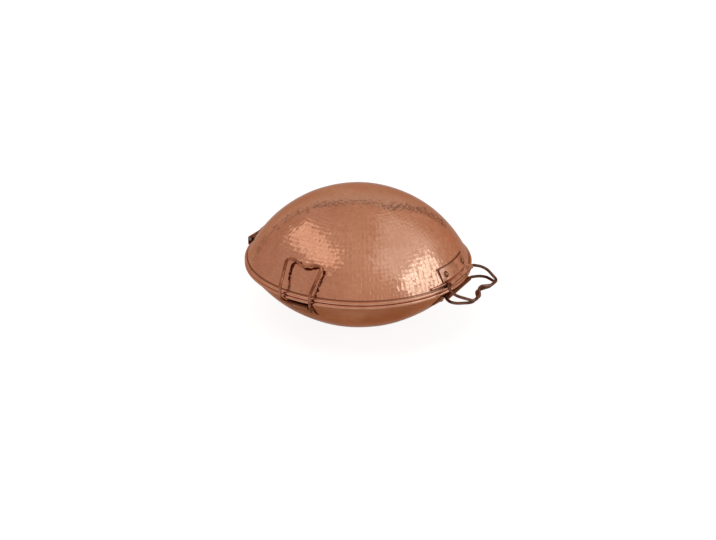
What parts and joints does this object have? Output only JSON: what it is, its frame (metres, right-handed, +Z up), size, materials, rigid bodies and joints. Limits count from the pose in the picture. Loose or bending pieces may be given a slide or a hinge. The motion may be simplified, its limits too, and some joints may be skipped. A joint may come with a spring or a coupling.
{
  "type": "cataplana",
  "caption": "Clamshell cooking pot of hammered copper: domed bowls hinged rim to rim, wire clamps at the sides and wire handles at the front.",
  "frame": {"origin": "centre of the flat that the pot stands on", "axes": "+Z up through the crown, -Y towards the front handles, +Y towards the hinge"},
  "size_m": [0.3116, 0.3437, 0.171],
  "materials": {
    "beaten_copper": null,
    "copper_plate": "rolled copper sheet, worn polish",
    "copper_wire": "drawn copper wire, darkened",
    "copper_rivet": "hammered copper rivets, tarnished",
    "inner_wire": "steel wire inside the rolled rims and the hinge"
  },
  "bodies": {
    "base": {"base_shell": "beaten_copper", "base_rim_wire": "inner_wire", "front_base_plate": "copper_plate", "left_clamp_plate": "copper_plate", "right_clamp_plate": "copper_plate", "hinge_base_leaf": "copper_plate", "hinge_pin": "inner_wire", "front_base_rivet_a": "copper_rivet", "front_base_rivet_b": "copper_rivet", "hinge_base_rivet_a": "copper_rivet", "hinge_base_rivet_b": "copper_rivet", "left_clamp_rivet_a": "copper_rivet", "left_clamp_rivet_b": "copper_rivet", "right_clamp_rivet_a": "copper_rivet", "right_clamp_rivet_b": "copper_rivet"},
    "lid": {"lid_shell": "beaten_copper", "lid_rim_wire": "inner_wire", "front_lid_plate": "copper_plate", "hinge_lid_leaf": "copper_plate", "front_lid_rivet_a": "copper_rivet", "front_lid_rivet_b": "copper_rivet", "hinge_lid_rivet_a": "copper_rivet", "hinge_lid_rivet_b": "copper_rivet"},
    "lid_handle": {"lid_handle": "copper_wire"},
    "base_handle": {"base_handle": "copper_wire"},
    "left_clamp": {"left_clamp_bail": "copper_wire"},
    "right_clamp": {"right_clamp_bail": "copper_wire"}
  },
  "joints": [
    {"name": "lid_hinge", "type": "hinge", "parent": "base", "child": "lid", "pos_m": [0, 0.1545, 0.0785], "axis": [-1, 0, 0], "range_deg": [0, 90]},
    {"name": "lid_handle_pivot", "type": "hinge", "parent": "lid", "child": "lid_handle", "pos_m": [0, -0.14838, 0.083], "axis": [-1, 0, 0], "range_deg": [0, 135]},
    {"name": "base_handle_pivot", "type": "hinge", "parent": "base", "child": "base_handle", "pos_m": [0, -0.14658, 0.0655], "axis": [-1, 0, 0], "range_deg": [-125, 0]},
    {"name": "left_clamp_pivot", "type": "hinge", "parent": "base", "child": "left_clamp", "pos_m": [-0.14573, 0.00636, 0.0645], "axis": [-0.0436, -0.999, 0], "range_deg": [0, 180]},
    {"name": "right_clamp_pivot", "type": "hinge", "parent": "base", "child": "right_clamp", "pos_m": [0.14573, 0.00636, 0.0645], "axis": [-0.0436, 0.999, 0], "range_deg": [0, 180]}
  ],
  "couplings": [
    {"joint": "left_clamp_pivot", "follows": "lid_hinge", "ratio": 2},
    {"joint": "right_clamp_pivot", "follows": "lid_hinge", "ratio": 2}
  ]
}
